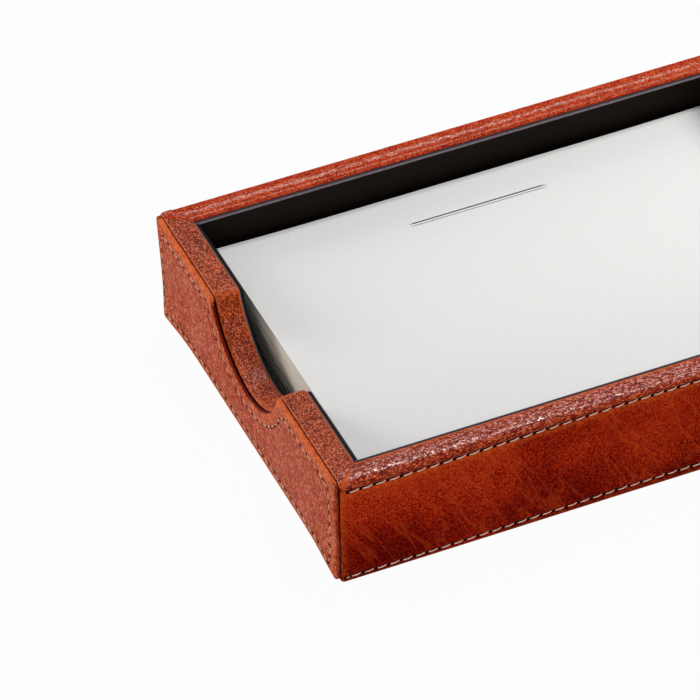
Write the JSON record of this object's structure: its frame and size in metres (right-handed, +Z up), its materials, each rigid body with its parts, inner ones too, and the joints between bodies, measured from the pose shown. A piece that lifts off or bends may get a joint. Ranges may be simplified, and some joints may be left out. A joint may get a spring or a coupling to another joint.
{
  "type": "memo tray",
  "caption": "Rectangular leather-covered memo tray with padded rims, a thumb notch in each end wall, stitched end panels, black lining and loose note sheets.",
  "frame": {"origin": "middle of the footprint, on the surface that the tray stands on", "axes": "+X along the long side, +Y to the back wall, +Z up"},
  "size_m": [0.1748, 0.128, 0.0347],
  "materials": {
    "greyboard": "pressed grey board",
    "felt": "pressed felt",
    "black_lining": "black coated board",
    "paper": "smooth uncoated",
    "wall_leather": "burnished, waxed",
    "panel_leather": "pebbled, waxed"
  },
  "bodies": {
    "tray": {"base_board": "greyboard", "base_felt": "felt", "floor_lining": "black_lining", "front_board": "greyboard", "back_board": "greyboard", "front_leather": "wall_leather", "back_leather": "wall_leather", "front_lining": "black_lining", "back_lining": "black_lining", "left_board": "greyboard", "right_board": "greyboard", "left_leather": "wall_leather", "right_leather": "wall_leather", "left_lining": "black_lining", "right_lining": "black_lining", "left_panel_card": "greyboard", "right_panel_card": "greyboard", "left_panel_leather": "panel_leather", "right_panel_leather": "panel_leather", "front_left_gusset": "wall_leather", "front_right_gusset": "wall_leather", "back_left_gusset": "wall_leather", "back_right_gusset": "wall_leather"},
    "sheet_stack": {"sheet_stack": "paper"},
    "top_sheet": {"top_sheet": "paper"}
  },
  "joints": [
    {"name": "stack_lift", "type": "slide", "parent": "tray", "child": "sheet_stack", "axis": [0, 0, 1], "range_m": [0, 0.05]},
    {"name": "top_sheet_lift", "type": "slide", "parent": "sheet_stack", "child": "top_sheet", "axis": [0, 0, 1], "range_m": [0, 0.03]}
  ]
}
